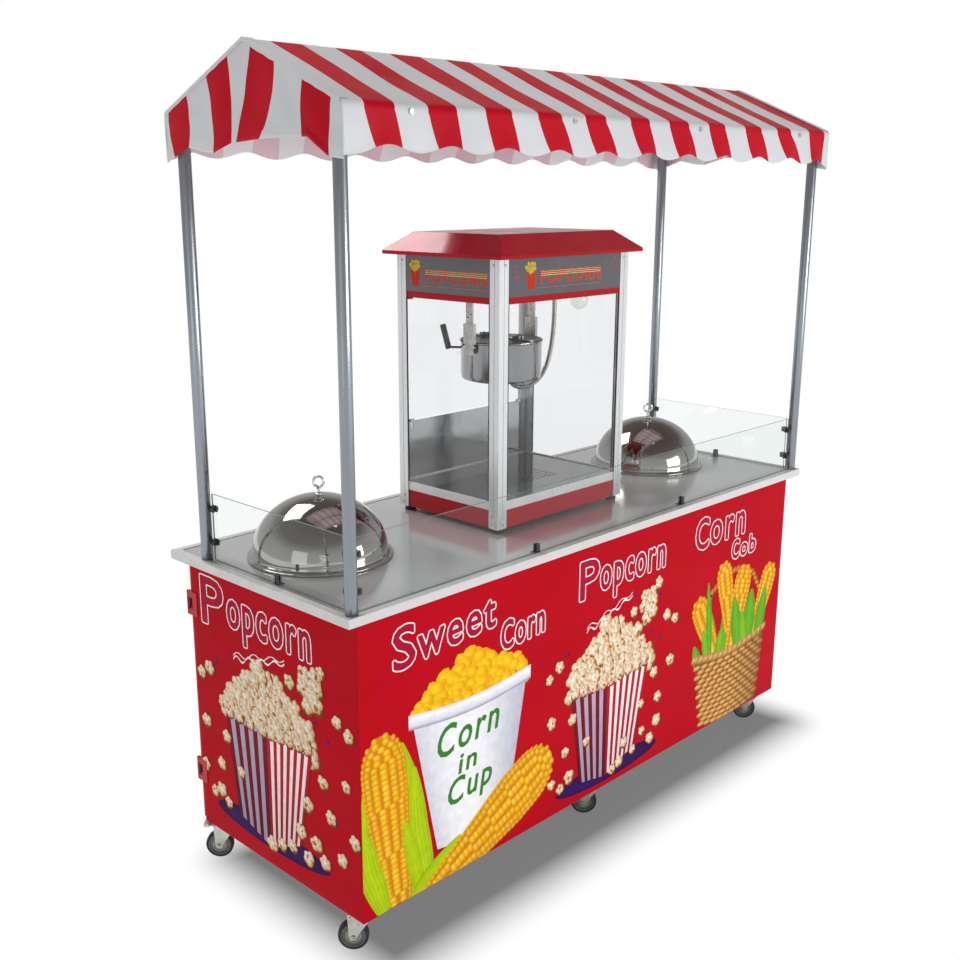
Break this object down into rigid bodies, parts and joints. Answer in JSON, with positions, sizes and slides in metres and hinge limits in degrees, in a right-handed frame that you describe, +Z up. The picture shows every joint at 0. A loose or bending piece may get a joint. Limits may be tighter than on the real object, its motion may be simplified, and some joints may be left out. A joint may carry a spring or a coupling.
{
  "type": "popcorn cart",
  "caption": "Wrapped service cart on casters with a striped gable canopy, glass guards, two lidded corn basins and a glazed popcorn machine with a tipping kettle.",
  "frame": {"origin": "on the floor under the middle of the cart's bounding box", "axes": "+X along the counter to the customer's right as seen from behind the cart, +Y towards the operator's rear doors, +Z up; the customer's printed front faces -Y"},
  "size_m": [1.8, 0.696, 1.942],
  "materials": {
    "frame_steel": "mill finish square tube",
    "red_wrap": "gloss printed vinyl on composite sheet",
    "red_door": "gloss red vinyl on board",
    "sheet_aluminium": "plain sheet",
    "zinc": "zinc plated",
    "worktop": "satin stainless steel",
    "edge_profile": "satin",
    "stainless": "polished stainless steel",
    "heater": "black",
    "post": "satin tube",
    "canopy_fabric": "red and white striped coated fabric",
    "guard_glass": "clear",
    "clip": "black",
    "machine_red": "gloss red",
    "rubber": "matt",
    "machine_post": "satin anodised",
    "cabinet_glass": "clear",
    "sign": "dark grey print",
    "grip": "black",
    "conduit": "spiral steel conduit",
    "lamp_glass": "clear bulb in steel socket",
    "wheel": "grey hub with black tyre"
  },
  "bodies": {
    "cart": {"cabinet_frame": "frame_steel", "front_panel": "red_wrap", "side_panels": "red_wrap", "floor_panel": "sheet_aluminium", "door_hinges": "zinc", "counter_top": "worktop", "counter_trim": "edge_profile", "basin_left": "stainless", "basin_right": "stainless", "basin_heaters": "heater", "posts": "post", "canopy_frame": "frame_steel", "canopy_cover": "canopy_fabric", "canopy_screws": "zinc", "guard_front": "guard_glass", "guard_ends": "guard_glass", "guard_clips": "clip", "machine_base": "machine_red", "machine_feet": "rubber", "corner_posts": "machine_post", "machine_glass": "cabinet_glass", "machine_back_panel": "stainless", "machine_head": "machine_red", "sign_panels": "sign", "machine_roof": "machine_red", "popcorn_deck": "stainless", "kettle_hangers": "zinc", "kettle_conduit": "conduit", "lamp": "lamp_glass", "caster_plates": "zinc"},
    "door_left": {"door_left": "red_door"},
    "door_right": {"door_right": "red_door"},
    "lid_dome_left": {"dome_left": "stainless"},
    "lid_dome_right": {"dome_right": "stainless"},
    "machine_door_left": {"machine_door_left": "cabinet_glass"},
    "machine_door_right": {"machine_door_right": "cabinet_glass"},
    "crumb_drawer": {"crumb_drawer": "stainless"},
    "kettle": {"kettle": "stainless", "kettle_crossbar": "stainless", "kettle_handle": "grip"},
    "kettle_lid_left": {"kettle_lid_left": "stainless"},
    "kettle_lid_right": {"kettle_lid_right": "stainless"},
    "stirrer": {"stirrer": "stainless"},
    "drive_shaft": {"drive_shaft": "stainless"},
    "power_switch": {"power_switch": "grip"},
    "heat_switch": {"heat_switch": "grip"},
    "fork_1": {"fork_1": "zinc"},
    "wheel_1": {"wheel_1": "wheel"},
    "fork_2": {"fork_2": "zinc"},
    "wheel_2": {"wheel_2": "wheel"},
    "fork_3": {"fork_3": "zinc"},
    "wheel_3": {"wheel_3": "wheel"},
    "fork_4": {"fork_4": "zinc"},
    "wheel_4": {"wheel_4": "wheel"},
    "fork_5": {"fork_5": "zinc"},
    "wheel_5": {"wheel_5": "wheel"},
    "fork_6": {"fork_6": "zinc"},
    "wheel_6": {"wheel_6": "wheel"},
    "brake_pedal_4": {"brake_pedal_4": "zinc"},
    "brake_pedal_6": {"brake_pedal_6": "zinc"}
  },
  "joints": [
    {"name": "door_left_hinge", "type": "hinge", "parent": "cart", "child": "door_left", "pos_m": [-0.86, 0.3265, 0.45], "axis": [0, 0, 1], "range_deg": [0, 110]},
    {"name": "door_right_hinge", "type": "hinge", "parent": "cart", "child": "door_right", "pos_m": [0.86, 0.3265, 0.45], "axis": [0, 0, -1], "range_deg": [0, 110]},
    {"name": "dome_left_lift", "type": "slide", "parent": "cart", "child": "lid_dome_left", "axis": [0, 0, 1], "range_m": [0, 0.25]},
    {"name": "dome_right_lift", "type": "slide", "parent": "cart", "child": "lid_dome_right", "axis": [0, 0, 1], "range_m": [0, 0.25]},
    {"name": "machine_door_left_hinge", "type": "hinge", "parent": "cart", "child": "machine_door_left", "pos_m": [-0.227, 0.205, 1.22], "axis": [0, 0, 1], "range_deg": [0, 110]},
    {"name": "machine_door_right_hinge", "type": "hinge", "parent": "cart", "child": "machine_door_right", "pos_m": [0.197, 0.205, 1.22], "axis": [0, 0, -1], "range_deg": [0, 110]},
    {"name": "crumb_drawer_slide", "type": "slide", "parent": "cart", "child": "crumb_drawer", "axis": [0, 1, 0], "range_m": [0, 0.2]},
    {"name": "kettle_tilt", "type": "hinge", "parent": "cart", "child": "kettle", "pos_m": [-0.04, 0.055, 1.263], "axis": [1, 0, 0], "range_deg": [0, 100], "deforming": ["kettle_conduit"]},
    {"name": "kettle_lid_left_hinge", "type": "hinge", "parent": "kettle", "child": "kettle_lid_left", "pos_m": [-0.046, 0.055, 1.2855], "axis": [0, 1, 0], "range_deg": [0, 80]},
    {"name": "kettle_lid_right_hinge", "type": "hinge", "parent": "kettle", "child": "kettle_lid_right", "pos_m": [-0.034, 0.055, 1.2855], "axis": [0, -1, 0], "range_deg": [0, 80]},
    {"name": "drive_spin", "type": "hinge", "parent": "cart", "child": "drive_shaft", "pos_m": [-0.04, 0.055, 1.35], "axis": [0, 0, 1], "continuous": true},
    {"name": "stirrer_spin", "type": "hinge", "parent": "kettle", "child": "stirrer", "pos_m": [-0.04, 0.055, 1.2], "axis": [0, 0, 1], "continuous": true},
    {"name": "power_switch_rock", "type": "hinge", "parent": "cart", "child": "power_switch", "pos_m": [-0.075, 0.208, 1.455], "axis": [1, 0, 0], "range_deg": [-8, 8]},
    {"name": "heat_switch_rock", "type": "hinge", "parent": "cart", "child": "heat_switch", "pos_m": [0.045, 0.208, 1.455], "axis": [1, 0, 0], "range_deg": [-8, 8]},
    {"name": "swivel_1", "type": "hinge", "parent": "cart", "child": "fork_1", "pos_m": [-0.822, -0.264, 0.085], "axis": [0, 0, 1], "continuous": true},
    {"name": "wheel_1_spin", "type": "hinge", "parent": "fork_1", "child": "wheel_1", "pos_m": [-0.84006, -0.2453, 0.035], "axis": [-0.7193, -0.6947, 0], "continuous": true},
    {"name": "swivel_2", "type": "hinge", "parent": "cart", "child": "fork_2", "pos_m": [0, -0.264, 0.085], "axis": [0, 0, 1], "continuous": true},
    {"name": "wheel_2_spin", "type": "hinge", "parent": "fork_2", "child": "wheel_2", "pos_m": [-0.01806, -0.2453, 0.035], "axis": [-0.7193, -0.6947, 0], "continuous": true},
    {"name": "swivel_3", "type": "hinge", "parent": "cart", "child": "fork_3", "pos_m": [0.822, -0.264, 0.085], "axis": [0, 0, 1], "continuous": true},
    {"name": "wheel_3_spin", "type": "hinge", "parent": "fork_3", "child": "wheel_3", "pos_m": [0.80394, -0.2453, 0.035], "axis": [-0.7193, -0.6947, 0], "continuous": true},
    {"name": "swivel_4", "type": "hinge", "parent": "cart", "child": "fork_4", "pos_m": [-0.822, 0.264, 0.085], "axis": [0, 0, 1], "continuous": true},
    {"name": "wheel_4_spin", "type": "hinge", "parent": "fork_4", "child": "wheel_4", "pos_m": [-0.84006, 0.2827, 0.035], "axis": [-0.7193, -0.6947, 0], "continuous": true},
    {"name": "swivel_5", "type": "hinge", "parent": "cart", "child": "fork_5", "pos_m": [0, 0.264, 0.085], "axis": [0, 0, 1], "continuous": true},
    {"name": "wheel_5_spin", "type": "hinge", "parent": "fork_5", "child": "wheel_5", "pos_m": [-0.01806, 0.2827, 0.035], "axis": [-0.7193, -0.6947, 0], "continuous": true},
    {"name": "swivel_6", "type": "hinge", "parent": "cart", "child": "fork_6", "pos_m": [0.822, 0.264, 0.085], "axis": [0, 0, 1], "continuous": true},
    {"name": "wheel_6_spin", "type": "hinge", "parent": "fork_6", "child": "wheel_6", "pos_m": [0.80394, 0.2827, 0.035], "axis": [-0.7193, -0.6947, 0], "continuous": true},
    {"name": "brake_4_press", "type": "hinge", "parent": "fork_4", "child": "brake_pedal_4", "pos_m": [-0.84353, 0.2863, 0.088], "axis": [-0.7193, -0.6947, 0], "range_deg": [0, 12]},
    {"name": "brake_6_press", "type": "hinge", "parent": "fork_6", "child": "brake_pedal_6", "pos_m": [0.80047, 0.2863, 0.088], "axis": [-0.7193, -0.6947, 0], "range_deg": [0, 12]}
  ],
  "couplings": [
    {"joint": "drive_spin", "follows": "stirrer_spin", "ratio": 1}
  ]
}
